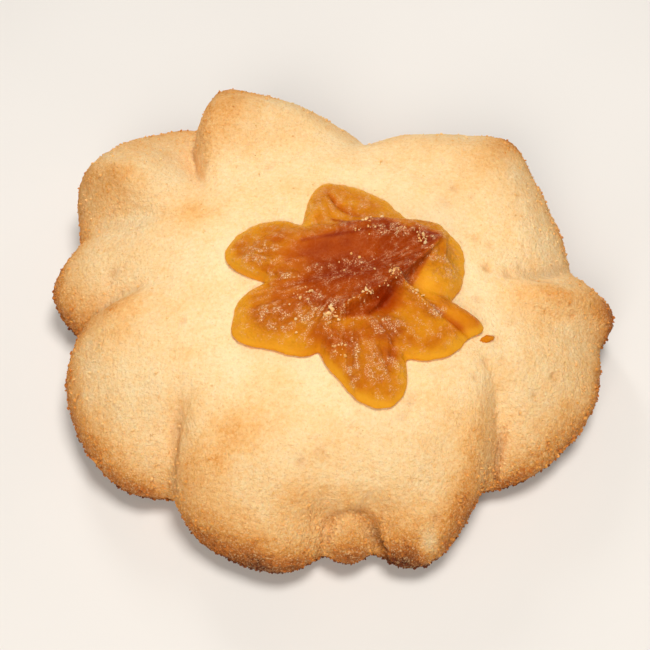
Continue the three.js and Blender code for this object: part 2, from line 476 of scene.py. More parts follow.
def clean_foot(obj):
    places = points_of(obj)
    places[places[:, 2] < FOOT_SNAP, 2] = 0
    set_points(obj, places)
    pick(obj)
    bpy.ops.object.mode_set(mode="EDIT")
    bpy.ops.mesh.select_all(action="DESELECT")
    bpy.ops.object.mode_set(mode="OBJECT")
    flat = [p.normal.z < -0.98 and p.center.z < FOOT_SNAP * MM for p in obj.data.polygons]
    obj.data.polygons.foreach_set("select", flat)
    bpy.ops.object.mode_set(mode="EDIT")
    bpy.ops.mesh.select_mode(type="FACE")
    bpy.ops.mesh.dissolve_faces()
    bpy.ops.object.mode_set(mode="OBJECT")
    print("foot faces dissolved:", sum(flat), "left:", len(obj.data.polygons))


# %% [markdown]
# ## Browning
# An oven browns what stands out and what is thin: the crests of the petals, the lower wall and
# above all the rim and the foot. Valleys and the middle stay cream. So a value from 0, pale, to
# 1, dark, is painted on the points from the swell of the form, the height and the reach. It also
# carries painted shade: browner where the surface tilts away from the light, under the overhanging
# wall and on one spot of the low front rim.

# %% Paint the browning
RIDGES = [
    [(15.6, 149), (20, 150), (27.8, 151.3)],
    [(18.1, 190), (22.3, 189), (27.1, 187)],
    [(13.5, 249), (18, 245), (22.5, 241)],
    [(22.1, 307), (24.9, 303), (26.3, 301)],
    [(19.6, 353), (23.9, 357), (28.8, 359)],
    [(15.6, 41), (22.7, 43), (30, 46)],
    [(21.2, 124), (24.9, 116), (29.2, 111)],
]
RIDGE_WIDTH = 2.4
crest = np.zeros(len(form))
for stations in RIDGES:
    gap, share, _ = along_path(form, polar(FOOT_MIDDLE, stations))
    crest = np.maximum(crest, np.exp(-((gap / RIDGE_WIDTH) ** 2)) * (0.5 + 0.5 * share))
# Spots of more or less browning, each a place, a width and how much; one on the low front rim is
# painted shade.
BROWNING_AND_SHADE_SPOTS = [
    (-4.4, 8.6, 5.0, 0.10), (22.7, 6.2, 4.0, 0.04), (-21.4, -8.7, 3.0, 0.10),
    (-9.6, -18.6, 3.0, 0.10), (8.5, -27.3, 3.0, 0.05), (21.2, -19.4, 3.0, -0.06),
    (27.0, 4.0, 3.0, -0.08), (17.5, 20.5, 4.0, -0.08), (-24.8, 14.0, 3.0, -0.14),
    (-20.8, 10.8, 3.2, -0.26), (-14.5, 6.9, 2.4, 0.10), (-6.5, -14.8, 2.6, 0.06),
    # (-7.9, -30.4) on the low front rim: painted shade under the rim
    (-7.9, -30.4, 2.0, 0.24), (27.3, -3.5, 3.0, -0.12), (6.0, -30.0, 3.0, 0.12),
]
browning_and_shade = sum(more * spot(form, (x, y), wide) for x, y, wide, more in BROWNING_AND_SHADE_SPOTS)
print("ridges:", len(RIDGES), "tanned spots:", len(BROWNING_AND_SHADE_SPOTS))

# %% Add up the browning
slope = ease(1 - form_normals[:, 2], 0.06, 0.5)
blotch = grain(form, 5.0, 1)
mottle = grain(form, 1.6, 2)
brown = (
    0.07 + 0.07 * ease(reach, 12, 20)  # a pale middle, a little gold round it
    + 0.26 * ease(swell, 0.02, 0.5)  # whatever stands out
    + 0.20 * crest * ease(reach, 12, 20)  # ridges of the petals
    + 0.22 * ease(-form[:, 2], -9, -2)  # lower wall
    + 0.30 * ease(-form[:, 2], -2.4, -0.4)  # edge of the foot
    # painted shade: browner where the surface tilts away from the overhead light
    + 0.12 * slope
    + 0.14 * ease(reach, 24, 31)  # rim
    + browning_and_shade
    + 0.10 * blotch + 0.045 * mottle
)
# under: real browning where the foot met the sheet, and painted shade under the overhanging lower wall
under = ease(-form_normals[:, 2], 0.05, 0.75)
brown = np.maximum(brown, 0) + 0.42 * under * ease(-form[:, 2], -5, -1) - 0.55 * broken
set_value(dough, "browning", brown)
set_value(dough, "crease_shade", creased)
set_value(dough, "pit", pit_tint)
set_value(dough, "sandy", coarse)
clean_foot(dough)
bpy.ops.object.shade_smooth()
print("browning:", [round(float(v), 2) for v in np.percentile(brown, [5, 50, 95])])

# %% [markdown]
# ## Dough material
# Shortbread is dry and matt, with a crumb that is partly see-through at its edges. One ramp
# carries cream to gold to brown, led by the painted browning, which also holds painted shade, and
# broken up by noise at three sizes. Over it go painted shade in the creases, a darker colour in
# the pits, specks, and pale painted glints on the sandy crumb. The finest noise also goes into the
# bump.

# %% Node helpers


class Nodes:
    """A small bench for building one material."""

    def __init__(self, name):
        self.material = bpy.data.materials.new(name)
        self.material.use_nodes = True
        self.tree = self.material.node_tree
        self.shader = self.tree.nodes["Principled BSDF"]
        place = self.add("ShaderNodeTexCoord").outputs["Object"]
        scale = self.add("ShaderNodeMapping")
        scale.inputs["Scale"].default_value = (1 / MM, 1 / MM, 1 / MM)
        self.join(place, scale.inputs["Vector"])
        self.place = scale.outputs["Vector"]

    def add(self, kind, **settings):
        node = self.tree.nodes.new(kind)
        for key, value in settings.items():
            setattr(node, key, value)
        return node

    def join(self, source, target):
        self.tree.links.new(source, target)

    def fill(self, socket, value):
        if isinstance(value, bpy.types.NodeSocket):
            self.join(value, socket)
        else:
            socket.default_value = value

    def noise(self, per_mm, detail, roughness=0.5):
        node = self.add("ShaderNodeTexNoise")
        self.join(self.place, node.inputs["Vector"])
        node.inputs["Scale"].default_value = per_mm
        node.inputs["Detail"].default_value = detail
        node.inputs["Roughness"].default_value = roughness
        return node.outputs["Fac"]

    def cells(self, per_mm):
        node = self.add("ShaderNodeTexVoronoi", feature="F1")
        self.join(self.place, node.inputs["Vector"])
        node.inputs["Scale"].default_value = per_mm
        return node.outputs["Distance"]

    def value(self, name):
        return self.add("ShaderNodeAttribute", attribute_name=name).outputs["Fac"]

    def math(self, operation, a, b):
        node = self.add("ShaderNodeMath", operation=operation)
        for socket, value in zip(node.inputs, (a, b)):
            self.fill(socket, value)
        return node.outputs[0]

    def spread(self, source, low, high, new_low=0.0, new_high=1.0):
        node = self.add("ShaderNodeMapRange")
        node.inputs["From Min"].default_value = low
        node.inputs["From Max"].default_value = high
        node.inputs["To Min"].default_value = new_low
        node.inputs["To Max"].default_value = new_high
        self.join(source, node.inputs["Value"])
        return node.outputs[0]

    def patches(self, per_mm, detail, roughness, low, high, most):
        """Noise as soft patches: nothing where it is under low, the most where it is over high."""
        return self.spread(self.noise(per_mm, detail, roughness), low, high, 0.0, most)

    def ramp(self, source, stops):
        node = self.add("ShaderNodeValToRGB")
        marks = node.color_ramp.elements
        while len(marks) < len(stops):
            marks.new(0.5)
        for mark, (at, colour) in zip(marks, stops):
            mark.position = at
            mark.color = paint(colour)
        self.join(source, node.inputs["Fac"])
        return node.outputs["Color"]

    def mix(self, share, a, b):
        node = self.add("ShaderNodeMix", data_type="RGBA", blend_type="MIX")
        self.fill(node.inputs["Factor"], share)
        self.fill(node.inputs["A"], a)
        self.fill(node.inputs["B"], b)
        return [s for s in node.outputs if s.type == "RGBA"][0]

    def bump(self, height, depth):
        node = self.add("ShaderNodeBump")
        node.inputs["Distance"].default_value = depth
        node.inputs["Strength"].default_value = 1.0
        self.join(height, node.inputs["Height"])
        return node.outputs["Normal"]


def paint(colour):
    """An everyday 0 to 255 colour as the linear one that Blender mixes."""
    linear = [((v / 255 + 0.055) / 1.055) ** 2.4 if v > 10 else v / 255 / 12.92 for v in colour]
    return (*linear, 1.0)


# %% Dough material
def dough_material():
    bench = Nodes("baked_dough")
    shader = bench.shader
    cloud = bench.spread(bench.noise(0.45, 3), 0.3, 0.7, -0.05, 0.05)
    fleck = bench.spread(bench.noise(2.2, 4, 0.65), 0.3, 0.7, -0.10, 0.10)
    level = bench.math("ADD", bench.math("ADD", bench.value("browning"), cloud), fleck)
    colour = bench.ramp(level, [
        (0.00, (255, 226, 176)), (0.16, (254, 213, 154)), (0.34, (249, 193, 122)),
        (0.52, (234, 161, 78)), (0.72, (200, 118, 46)), (1.00, (104, 47, 14)),
    ])
    # crease_shade: painted shade, a darker brown along the creases and the arch seam
    seam = bench.math("MULTIPLY", bench.value("crease_shade"), 0.6)
    colour = bench.mix(seam, colour, paint((152, 88, 40)))
    # the pits are painted a little darker
    colour = bench.mix(bench.math("MULTIPLY", bench.value("pit"), 0.75), colour, paint((206, 140, 74)))
    sand = bench.value("sandy")
    # crumb_glint: pale specks painted on the sandy crumb as glints of light
    crumb_glint = bench.math("MULTIPLY", bench.patches(5.0, 2, 0.6, 0.52, 0.64, 0.5), sand)
    colour = bench.mix(crumb_glint, colour, paint((255, 222, 164)))
    dust = bench.math("MULTIPLY", bench.patches(4.2, 3, 0.6, 0.54, 0.66, 0.34), sand)
    colour = bench.mix(dust, colour, paint((190, 112, 50)))
    specks = bench.spread(bench.cells(1.6), 0.10, 0.16, 0.26, 0.0)
    colour = bench.mix(specks, colour, paint((214, 144, 76)))
    bench.join(colour, shader.inputs["Base Color"])
    rough = bench.spread(sand, 0.36, 1.0, 0.30, 1.0)
    grains = bench.math("MULTIPLY", bench.cells(2.8), -0.5)
    height = bench.math("ADD", bench.noise(3.0, 3, 0.6), bench.noise(7.0, 2))
    height = bench.math("MULTIPLY", bench.math("ADD", height, grains), rough)
    bench.join(bench.bump(height, 0.32 * MM), shader.inputs["Normal"])
    shader.inputs["Roughness"].default_value = 0.82
    shader.inputs["Specular IOR Level"].default_value = 0.28
    shader.inputs["Subsurface Weight"].default_value = 0.18
    shader.inputs["Subsurface Radius"].default_value = (1.0, 0.5, 0.22)
    shader.inputs["Subsurface Scale"].default_value = 0.9 * MM
    return bench.material


baked_dough = dough_material()
dough.data.materials.append(baked_dough)
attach(dough, "root")
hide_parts("shortbread")

# %% [markdown]
# ## The jam star
# The jam was piped as a six-armed star and its nozzle was drawn off to one side, so a folded heap
# leans over the right arm. It has set with a skin: smooth where it is thick, finely wrinkled
# along the arms. It is built as rings of points from the star's outline in to its middle. The
# outline is measured on the frame's node. The heights come from named folds, each a crest that
# can fall steeply on one side and slowly on the other.

# %% Star outline
JAM_MIDDLE = np.array((1.664, -3.796))
COLUMNS = 400
AZIMUTHS = np.arange(COLUMNS) * 2 * math.pi / COLUMNS


def outline_of(node, middle):
    """Reach of a node's rim about a point, at each azimuth, from the columns its mesh has."""
    places = points_of(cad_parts[node])[:, :2] - middle
    reach = np.hypot(places[:, 0], places[:, 1])
    turn = np.round(np.degrees(np.arctan2(places[:, 1], places[:, 0])) % 360, 1)
    columns = sorted({t: reach[turn == t].max() for t in turn[reach > 4]}.items())
    at = np.radians([c[0] for c in columns])
    rim = np.interp(AZIMUTHS, at, [c[1] for c in columns], period=2 * math.pi)
    for _ in range(6):
        rim = (np.roll(rim, 1) + 2 * rim + np.roll(rim, -1)) / 4
    return rim


WAVES = [(3, 0.10), (8, 0.22), (19, 0.14)]
NUDGES = [
    (264, -0.5, 7), (303, -0.8, 8), (42, 0.6, 6), (178, -0.7, 5), (225, -1.0, 11), (101, 0.6, 6),
    (118, -0.5, 6), (345, 1.0, 6), (335, -1.0, 6), (30, 0.3, 5), (8, -0.3, 6),
]


def wave(lobes):
    """Noise round the outline that meets itself again after one turn."""
    return np.array([
        noise.noise(Vector((lobes * math.cos(a), lobes * math.sin(a), 4))) for a in AZIMUTHS
    ])


star = outline_of("jam_star", JAM_MIDDLE)
for lobes, amount in WAVES:
    star += amount * wave(lobes)
for at, amount, wide in NUDGES:
    star += amount * near_azimuth(np.degrees(AZIMUTHS), at, wide)
print("jam reach mm: %.1f to %.1f" % (star.min(), star.max()))

# %% [markdown]
# ## The jam's folds
# Each fold is a crest path, the height at each point of it, and for its left and its right side
# how wide it falls and how. A power over 1.5 is round at the top, and one under it is drawn to a
# sharp edge. The folds are added as high powers, so the taller one wins where two meet and they
# still run into each other softly.

# %% Folds of the jam
FOLDS = [
    ([(-7.2, 4.2), (-3.7, 4.6), (0.0, 4.9), (2.8, 5.4), (5.6, 5.3), (8.3, 3.5)],
     [0.3, 1.0, 1.4, 1.8, 2.3, 2.75], (2.3, 4.5), (3.4, 1.1)),
    ([(8.3, 3.5), (6.6, 1.2), (4.9, -0.9)], [2.75, 2.5, 2.3], (0.6, 2.6), (2.8, 1.1)),
    ([(4.9, -0.9), (1.5, -3.0), (-2.6, -5.5)], [2.3, 1.6, 0.8], (0.5, 1.5), (1.5, 1.0)),
    ([(5.0, -0.9), (7.0, -2.6), (9.2, -4.6)], [2.2, 1.4, 0.5], (0.7, 1.2), (0.8, 1.0)),
    ([(-2.6, -5.5), (-1.5, -7.5), (-1.0, -9.8)], [0.8, 0.6, 0.3], (1.0, 1.4), (1.2, 1.4)),
    ([(8.8, -2.6), (11, -3.7), (13.2, -5.0)], [0.3, 0.55, 0.5], (1.2, 2.4), (0.9, 3.0)),
    ([(-1.2, 13.0), (-2.6, 10.0), (-4.2, 7.2)], [0.4, 0.5, 0.3], (1.0, 2.2), (0.8, 2.2)),
    ([(-12.2, 1.8), (-9.5, 2.6), (-5.5, 1.2)], [0.4, 0.45, 0.2], (1.6, 2.0), (1.6, 2.0)),
    ([(-11, -4.6), (-7, -3.4), (-4, -2.8)], [0.3, 0.4, 0.2], (2.0, 2.0), (2.0, 2.0)),
    ([(1.6, -12.6), (2.4, -9), (2.8, -5.5)], [0.3, 0.4, 0.3], (2.0, 2.0), (2.0, 2.0)),
]
FOLD_POWER = 5
HOLLOW = (3.6, -2.9, 1.3, 0.7)
HEAP = (0.8, 6.0)
THIN_ARMS = [(23, 26, 0.30), (92, 24, 0.15)]


def fold_height(places, path, heights, left, right):
    gap, share, side = along_path(places, path)
    high = np.interp(share, np.linspace(0, 1, len(heights)), heights)
    (lw, lp), (rw, rp) = left, right
    fall = np.where(side > 0, (gap / lw) ** lp, (gap / rw) ** rp)
    return high * np.exp(-fall)


def heap_height(places):
    folds = sum(fold_height(places, *fold) ** FOLD_POWER for fold in FOLDS) ** (1 / FOLD_POWER)
    x, y, wide, deep = HOLLOW
    high, round_wide = HEAP
    return high * spot(places, (0, 0), round_wide) + folds - deep * spot(places, (x, y), wide)


print("folds:", len(FOLDS))

# %% Seat of the jam
RINGS = 80
SEAT_ROUNDS = 30
DROP_FROM = 0.05


def tree_of(obj):
    mesh = obj.data
    return BVHTree.FromPolygons([v.co for v in mesh.vertices], [p.vertices for p in mesh.polygons])


def drop_on(tree, places):
    """Height in mm of the first surface under each plan point."""
    down = Vector((0, 0, -1))
    hits = [tree.ray_cast(Vector((x * MM, y * MM, DROP_FROM)), down)[0] for x, y in places]
    return np.array([0 if hit is None else hit.z / MM for hit in hits])


dough_tree = tree_of(dough)
shares = np.sin(np.pi / 2 * np.arange(1, RINGS + 1) / RINGS)
plan = np.array([
    (star[k] * s * math.cos(a), star[k] * s * math.sin(a))
    for s in shares for k, a in enumerate(AZIMUTHS)
])
ring_share = np.repeat(shares, COLUMNS)
seat = drop_on(dough_tree, plan + JAM_MIDDLE)
for _ in range(SEAT_ROUNDS):
    grid = seat.reshape(RINGS, COLUMNS)
    seat = ((np.roll(grid, 1, 1) + np.roll(grid, -1, 1) + grid) / 3).ravel()
print("seat mm: %.1f to %.1f" % (seat.min(), seat.max()))

# %% Height of the jam
SHEET = 0.9
LIP = 0.25
ROUND_POWER = 6
heap = heap_height(plan)
turn = np.degrees(np.arctan2(plan[:, 1], plan[:, 0]))
thin = sum(less * near_azimuth(turn, at, wide) for at, wide, less in THIN_ARMS)
rounding = np.sqrt(np.maximum(0, 1 - ring_share ** ROUND_POWER))
top = seat + LIP + rounding * (SHEET * (1 - thin * ring_share) + heap)
print("jam top mm: %.1f to %.1f" % (top.min(), top.max()))

# %% [markdown]
# ## The jam's body
# The rings lie on the baked dough, so the star follows its seat, and the heights lift them. The
# heap leans over the right arm, so its points are also moved sideways. Quads join the rings, fans
# close the middle and the underside sinks into the dough. A voxel remesh then gives an even skin
# that can carry wrinkles.

# %% Jam body
SUNK = 0.35
LEAN = (1.1, 0.1)
PEAK = (7.6, 3.2)
PEAK_WIDTH = 3.4
UNDERSIDE = (0.965, 0.6, 0.25)
JAM_SKIN = 0.13 * MM
over = ease(heap, 1.5, 3.0) * spot(plan, PEAK, PEAK_WIDTH)


def jam_body():
    upper = np.column_stack((plan + JAM_MIDDLE + over[:, None] * np.array(LEAN), top))
    lower = []
    for share in UNDERSIDE:
        ring = plan[-COLUMNS:] * share + JAM_MIDDLE
        lower.append(np.column_stack((ring, drop_on(dough_tree, ring) - SUNK)))
    crown = [(*JAM_MIDDLE, top[0])]
    base = [(*JAM_MIDDLE, seat[0] - SUNK)]
    points = np.vstack((crown, upper, *lower, base)) * MM
    rows = RINGS + len(UNDERSIDE)
    faces = []
    for k in range(COLUMNS):
        n = (k + 1) % COLUMNS
        faces.append((0, 1 + k, 1 + n))
        for row in range(rows - 1):
            a, b = 1 + row * COLUMNS, 1 + (row + 1) * COLUMNS
            faces.append((a + k, b + k, b + n, a + n))
        last = 1 + (rows - 1) * COLUMNS
        faces.append((last + k, len(points) - 1, last + n))
    mesh = bpy.data.meshes.new("jam")
    mesh.from_pydata(points.tolist(), [], faces)
    return link_mesh("jam", mesh)


jam = jam_body()
voxel_skin(jam, JAM_SKIN)
apply_modifier(jam, "SMOOTH", factor=0.5, iterations=3)
print("jam skin:", len(jam.data.polygons), "faces")

# %% [markdown]
# ## Wrinkles of the jam
# Jam that dries in the oven gets a thin skin, which wrinkles on the arms and stays smooth over
# the thick heap. Creases are pressed in along paths. Then each point gets a wrinkle strength,
# from belts where wrinkles crowd and smooth spots where they stop, and noise that is drawn out
# along the arms moves it.

# %% Measure the jam's skin
skin = points_of(jam)
ways = normals_of(jam)
rel = skin[:, :2] - JAM_MIDDLE
far = np.hypot(rel[:, 0], rel[:, 1])
angle = np.arctan2(rel[:, 1], rel[:, 0])
inward = np.interp(angle % (2 * math.pi), AZIMUTHS, star, period=2 * math.pi) - far
thick = skin[:, 2] - drop_on(dough_tree, skin[:, :2])
facing_up = ease(ways[:, 2], -0.2, 0.3)
print("jam thickness mm: up to %.1f" % thick.max())

# %% Where the jam wrinkles
JAM_CREASES = [
    ([(8.4, -3.3), (9.8, -4.3), (12.8, -6.2)], 0.22, 0.24),
    ([(-2.2, 12.4), (-1.0, 10.2), (0.6, 8.9), (2.8, 8.5)], 0.30, 0.30),
    ([(-6.0, -0.6), (-3.4, 0.2), (-0.5, 0.6)], 0.25, 0.5),
    ([(-8.0, -2.6), (-5.2, -2.2), (-2.8, -3.4)], 0.2, 0.4),
    ([(-0.6, -5.8), (0.2, -8.2), (0.2, -10.4)], 0.2, 0.4),
    ([(4.6, -5.4), (4.4, -8.0), (3.8, -10.2)], 0.2, 0.4),
    ([(-9.5, 0.6), (-6.6, 2.4), (-4.0, 3.0)], 0.2, 0.4),
]
SMOOTH_SPOTS = [
    ((-1.5, 3.4), 4.6, 1.7), ((3.8, -2.8), 1.5, 1.2), ((11.6, -4.2), 1.9, 1.2),
    ((8.0, -1.2), 1.6, 1.4),
]
BELTS = [
    (-8.9, 3.4, 2.2, 2.2, 0.9), (-6.2, 0.6, 2.0, 0.8, 0.9), (-3.0, 1.1, 2.0, 0.5, 0.8),
    (0.8, 1.4, 2.2, 0.4, 0.7), (-3.2, -4.2, 3.0, 2.2, 1.0), (-7.5, -4.6, 3.2, 2.2, 0.8),
    (4.0, -5.6, 2.2, 1.8, 1.0), (2.8, -9.6, 3.0, 2.4, 0.7), (9.3, 1.8, 2.4, 2.6, 0.7),
    (1.5, 9.6, 3.0, 1.4, 0.5), (-2.4, 10.0, 1.6, 2.4, 0.5), (5.5, 5.0, 3.0, 1.0, 0.9),
    (8.6, -4.0, 1.4, 1.0, 0.9), (-1.0, 6.4, 2.6, 0.9, 0.5), (4.5, -0.1, 0.6, 1.0, 1.0),
    (0.5, -9.0, 1.0, 3.6, 1.0),
]
LEAST_BELT = 0.32
MARK_POWER = 1.5
belt = np.full(len(skin), LEAST_BELT)
for x, y, wide, tall, more in BELTS:
    belt = np.maximum(belt, more * spot(rel, (x, y), wide, tall, MARK_POWER))
calm = np.ones(len(skin))
for middle, wide, tall in SMOOTH_SPOTS:
    calm *= 1 - 0.9 * spot(rel, middle, wide, tall, MARK_POWER)
belt *= calm
top_side = ease(inward, 0.1, 0.9) * facing_up
wrinkled = calm * top_side * (0.35 + 0.65 * belt)
print("wrinkled points:", int((wrinkled > 0.5).sum()), "of", len(wrinkled))

# %% Wrinkle the jam
ALONG_ARM = 0.15
FINE = 0.11


def streaks(angle, far):
    """Noise in long strips from the middle outwards, with one finer layer across them."""
    return np.array([
        noise.noise(Vector((math.cos(a) * f / 0.9 + 9, math.sin(a) * f / 0.9, 3)))
        + noise.noise(Vector((a * 9.0 * 1.9, f * 0.42, 7)))
        for a, f in zip(angle, far)
    ])


streak = streaks(angle, far)
fine = grain(skin, 0.42, 5)
creased = np.zeros(len(skin))
for path, deep, wide in JAM_CREASES:
    gap, share, _ = along_path(rel, path)
    creased = np.maximum(creased, deep * taper(share, 0.05) * np.exp(-((gap / wide) ** 2)))
creased *= facing_up
skin = skin - ways * creased[:, None]
amount = wrinkled * (ALONG_ARM * streak * ease(far, 3, 6) + FINE * fine)
set_points(jam, skin + ways * amount[:, None])
set_value(jam, "wrinkled", wrinkled)
# glint and painted_glint: where the wrinkled skin is painted with glints, as highlights in the colour
glint = 0.9 * streak + 0.7 * grain(skin, 0.45, 6) + 0.4 * grain(skin, 0.2, 7) + 0.28
set_value(jam, "painted_glint", ease(glint, 0.0, 0.7) * belt ** 0.8 * top_side)
# painted_sheen: where a pinkish sheen of reflected light is painted on the wrinkled skin
set_value(jam, "painted_sheen", ease(belt, 0.2, 0.9) * top_side * (0.7 + 0.5 * streak))
print("wrinkles mm: %.2f to %.2f" % (amount.min(), amount.max()))

# %% [markdown]
# ## Depth of colour
# Jam is half clear, so it is dark where it is thick and amber where it is thin. Light sent
# through it truly would be slow, and a shared model couldn't carry it. Instead each point gets a
# depth from 0, thin, to 1, thick. It comes from how far in the point lies, its thickness, the
# loop of the dark heap, and a few spots and strokes. Some of these are painted light: painted
# shade in the hollow under the heap, behind the peak, along the edges of folds and in the
# creases, and painted highlight along the lit crests of two folds.

# %% Heap, spots and strokes
# Spots where the jam is darker or lighter, each a middle, a width, a height and how much; the dark one
# at (3.6, -2.5) is painted shade in the hollow under the heap.
DEPTH_AND_SHADE_SPOTS = [
    ((-1.0, 3.2), 5.0, 2.0, 0.16), ((3.6, -2.5), 1.5, 1.1, 0.36), ((0.6, 0.4), 3.2, 1.6, 0.26),
    ((7.6, 3.8), 1.3, 0.9, 0.30), ((-3.5, -2.5), 3.0, 1.8, 0.10), ((4.6, 2.6), 1.8, 1.6, 0.14),
    ((8.4, -0.2), 1.7, 2.0, -0.24), ((10.0, 2.6), 2.2, 2.6, -0.14), ((0.5, -6.5), 3.2, 2.6, 0.16),
    ((-6.0, -3.6), 2.6, 2.0, 0.10), ((-3.4, -7.4), 2.4, 1.3, 0.22), ((-7.6, 1.0), 2.0, 1.2, 0.12),
    ((5.2, -7.6), 1.6, 1.6, 0.12), ((-1.5, 9.5), 3.0, 2.0, -0.06),
]
# The dark strokes run along fold edges, in creases, through the hollow and behind the peak, and are
# painted shade there; the two that lighten are painted highlight on lit fold crests.
STROKES = [
    ([(-4.6, 4.4), (0.0, 4.85), (2.8, 5.3), (5.2, 5.2)], 0.26, 0.24),
    ([(8.3, 3.4), (6.6, 1.1), (5.2, -0.8)], 0.18, 0.5),
    ([(4.9, -0.9), (1.5, -3.0), (-2.4, -5.4)], -0.10, 0.28),
    ([(5.0, -0.9), (7.0, -2.6), (9.0, -4.4)], -0.10, 0.24),
    ([(8.4, -3.3), (9.8, -4.3), (12.8, -6.2)], 0.12, 0.25),
    ([(2.2, -4.2), (3.6, -2.9), (5.0, -1.9)], 0.12, 0.7),
    ([(-6.0, -0.9), (-3.0, -0.4), (0.0, 0.0), (2.4, 0.6)], 0.12, 0.6),
    ([(7.0, 4.9), (8.2, 4.3), (9.0, 3.7)], 0.35, 0.5),
    ([(-1.4, 7.9), (0.3, 7.4), (1.9, 7.4), (3.4, 6.9)], 0.28, 0.25),
]
MASS = [
    (-6.2, 2.9), (-5.5, 4.3), (-2.6, 4.7), (-1.0, 5.6), (-0.8, 7.8), (1.9, 7.4), (3.5, 6.9),
    (4.8, 5.8), (9.5, 3.9), (8.1, 1.6), (6.5, -1.2), (4.9, -1.7), (2.1, -4.6), (-1.9, -5.2),
    (-5.3, -2.3), (-4.0, 0.6),
]


def inside_loop(places, loop):
    """Distance in from a closed path, below zero outside it."""
    gap, _, _ = along_path(places, loop + loop[:1])
    within = np.zeros(len(places), bool)
    for (ax, ay), (bx, by) in zip(loop, loop[1:] + loop[:1]):
        spans = (ay > places[:, 1]) != (by > places[:, 1])
        within ^= spans & (places[:, 0] < (bx - ax) * (places[:, 1] - ay) / (by - ay + 1e-9) + ax)
    return np.where(within, gap, -gap)


# %% Paint the depth
edge = 0.3 + 1.6 * ease(-rel[:, 0], -1, 5)
mass = ease(inside_loop(rel, MASS) / edge, -0.6, 0.9)
clear_rim = np.clip(2.2 + 2.2 * grain(skin, 3.6, 15), 0.8, 4.4)
depth = (0.27 + 0.12 * grain(skin, 3.0, 12)) * ease(inward / clear_rim, 0.03, 1.0)
depth += 0.10 * ease(thick, 1.2, 2.8) + 0.31 * mass
depth -= 0.07 * streak * wrinkled
for middle, wide, tall, more in DEPTH_AND_SHADE_SPOTS:
    depth += more * spot(rel, middle, wide, tall)
for path, more, wide in STROKES:
    gap, _, _ = along_path(rel, path)
    depth += more * np.exp(-((gap / wide) ** 2))
# painted shade in the jam's creases
depth += 0.5 * creased
set_value(jam, "depth", depth)
pick(jam)
bpy.ops.object.shade_smooth()
print("depth:", [round(float(v), 2) for v in np.percentile(depth, [5, 50, 95])])

# %% [markdown]
# ## Jam material
# One ramp leads from light amber over orange to red-brown, by the painted depth, which also holds
# painted shade. On the wrinkled skin noise lays a painted sheen, a pinkish haze, then darker
# specks, and painted glints in rose and near white, because real wrinkles break the light into
# many small glints. The shine itself is weak and warm, so the colour stays deep under a wide pale
# light.


# %% Jam material
def jam_material():
    bench = Nodes("fruit_jam")
    shader = bench.shader
    cloud = bench.spread(bench.noise(0.5, 3), 0.3, 0.7, -0.10, 0.10)
    level = bench.math("ADD", bench.value("depth"), cloud)
    colour = bench.ramp(level, [
        (0.00, (234, 160, 34)), (0.22, (220, 136, 18)), (0.44, (194, 96, 8)),
        (0.68, (168, 66, 2)), (1.00, (138, 38, 0)),
    ])
    # painted sheen: a pinkish haze of reflected light painted over the wrinkled skin
    painted_sheen = bench.value("painted_sheen")
    sheen_haze = bench.math("MULTIPLY", painted_sheen, bench.patches(3.4, 4, 0.7, 0.44, 0.60, 0.42))
    colour = bench.mix(sheen_haze, colour, paint((214, 122, 78)))
    dark = bench.math("MULTIPLY", painted_sheen, bench.patches(4.6, 3, 0.65, 0.50, 0.60, 0.45))
    colour = bench.mix(dark, colour, paint((140, 50, 6)))
    # painted glints: rose and near-white highlights painted in small specks
    painted_glint = bench.value("painted_glint")
    rosy_glint = bench.math("MULTIPLY", painted_glint, bench.patches(5.2, 3, 0.65, 0.45, 0.57, 0.75))
    colour = bench.mix(rosy_glint, colour, paint((220, 132, 82)))
    spark = bench.math("MULTIPLY", painted_glint, bench.patches(8.5, 2, 0.6, 0.54, 0.61, 1.1))
    colour = bench.mix(bench.spread(spark, 0.15, 0.8), colour, paint((255, 226, 176)))
    bench.join(colour, shader.inputs["Base Color"])
    wrinkled = bench.spread(bench.value("wrinkled"), 0, 1, 0.15, 1)
    height = bench.math("MULTIPLY", bench.noise(3.2, 5, 0.7), wrinkled)
    bench.join(bench.bump(height, 0.34 * MM), shader.inputs["Normal"])
    bench.join(bench.spread(bench.noise(1.8, 2), 0.3, 0.7, 0.20, 0.40), shader.inputs["Roughness"])
    shader.inputs["Specular IOR Level"].default_value = 0.20
    shader.inputs["Specular Tint"].default_value = (1.0, 0.62, 0.26, 1.0)
    shader.inputs["Subsurface Weight"].default_value = 0.10
    shader.inputs["Subsurface Radius"].default_value = (1.0, 0.4, 0.08)
    shader.inputs["Subsurface Scale"].default_value = 0.4 * MM
    return bench.material


fruit_jam = jam_material()
jam.data.materials.append(fruit_jam)
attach(jam, "root")
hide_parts("jam_star")

# %% [markdown]
# ## Loose crumbs
# Shortbread sheds crumbs. They cling where the dough is driest, on the rim and the wall, and
# a few fall on the sticky jam. One ragged grain is shaped from a small ball, then laid again and
# again, each time turned, stretched and half sunk, and all of one kind are joined in one mesh.

# %% Model one grain
GRAIN_SEED = 5


def model_grain():
    bpy.ops.object.select_all(action="DESELECT")
    bpy.ops.mesh.primitive_ico_sphere_add(subdivisions=1, radius=1)
    grain_obj = bpy.context.object
    bpy.ops.object.mode_set(mode="EDIT")
    bpy.ops.mesh.select_all(action="SELECT")
    bpy.ops.transform.vertex_random(offset=0.5, seed=GRAIN_SEED)
    bpy.ops.object.mode_set(mode="OBJECT")
    shape = np.array([v.co[:] for v in grain_obj.data.vertices])
    faces = np.array([p.vertices[:] for p in grain_obj.data.polygons])
    bpy.data.objects.remove(grain_obj)
    return shape, faces


grain_shape, grain_faces = model_grain()
print("one grain:", len(grain_faces), "faces")

# %% Lay grains


